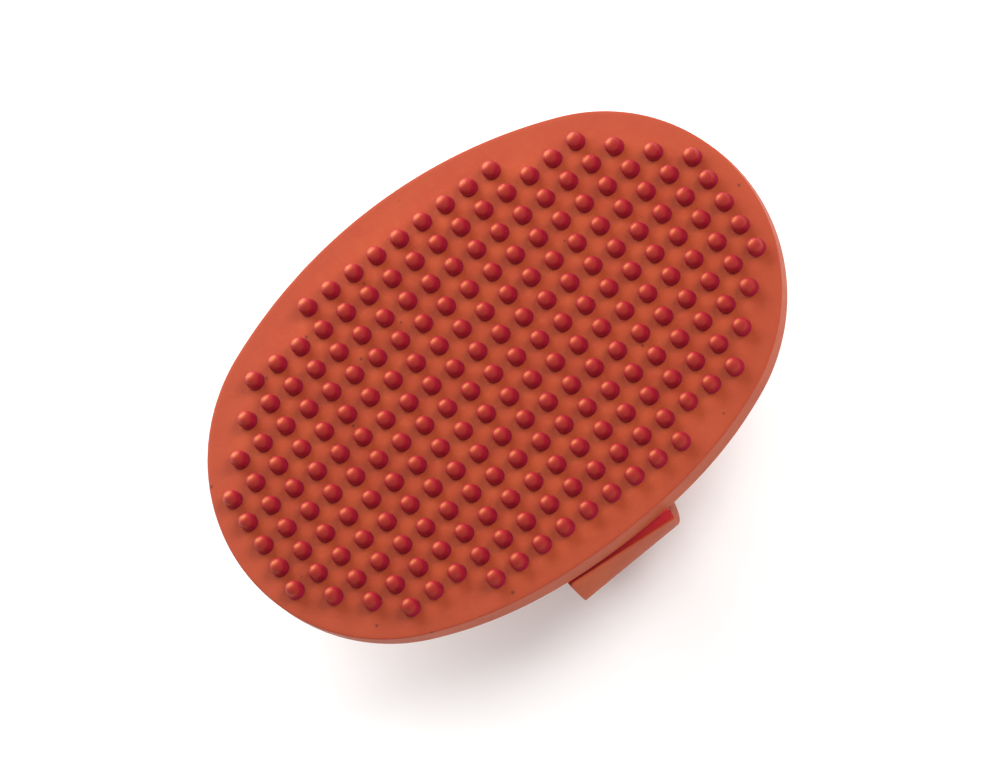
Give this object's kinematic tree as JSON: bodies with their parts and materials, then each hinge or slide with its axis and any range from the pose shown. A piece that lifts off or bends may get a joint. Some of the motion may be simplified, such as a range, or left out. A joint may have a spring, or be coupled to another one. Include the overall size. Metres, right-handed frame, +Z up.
{
  "type": "curry comb",
  "caption": "Oval rubber curry comb: a pad with a grid of domed nubs on the front and an adjustable hand strap, buttoned on studs, on the back.",
  "frame": {"origin": "on the resting surface, under the middle of the pad", "axes": "+X along the pad's long axis, +Z up through the nub side, the slotted strap starts at -Y"},
  "size_m": [0.134, 0.092, 0.039],
  "materials": {
    "face_rubber": "matte, fine mottling",
    "nub_rubber": "satin, wet-looking tips",
    "side_rubber": "matte, moulded",
    "strap_rubber": "matte, moulded"
  },
  "bodies": {
    "pad": {"face_plate": "face_rubber", "rim_wall": "side_rubber", "nub_row_01": "nub_rubber", "nub_row_02": "nub_rubber", "nub_row_03": "nub_rubber", "nub_row_04": "nub_rubber", "nub_row_05": "nub_rubber", "nub_row_06": "nub_rubber", "nub_row_07": "nub_rubber", "nub_row_08": "nub_rubber", "nub_row_09": "nub_rubber", "nub_row_10": "nub_rubber", "nub_row_11": "nub_rubber", "nub_row_12": "nub_rubber", "nub_row_13": "nub_rubber", "front_root": "side_rubber", "back_root": "side_rubber", "back_bend": "strap_rubber"},
    "slot_strap": {"slot_strap": "strap_rubber"},
    "stud_tab": {"stud_tab": "strap_rubber", "strap_studs": "nub_rubber"}
  },
  "joints": [
    {"name": "strap_swing", "type": "hinge", "parent": "pad", "child": "slot_strap", "pos_m": [0, -0.046, 0.0246], "axis": [-1, 0, 0], "range_deg": [0, 145], "stiffness_Nm_per_rad": 0.03},
    {"name": "tab_press", "type": "hinge", "parent": "pad", "child": "stud_tab", "pos_m": [0, 0.0247, 0.0048], "axis": [-1, 0, 0], "range_deg": [0, 25], "stiffness_Nm_per_rad": 0.02}
  ]
}
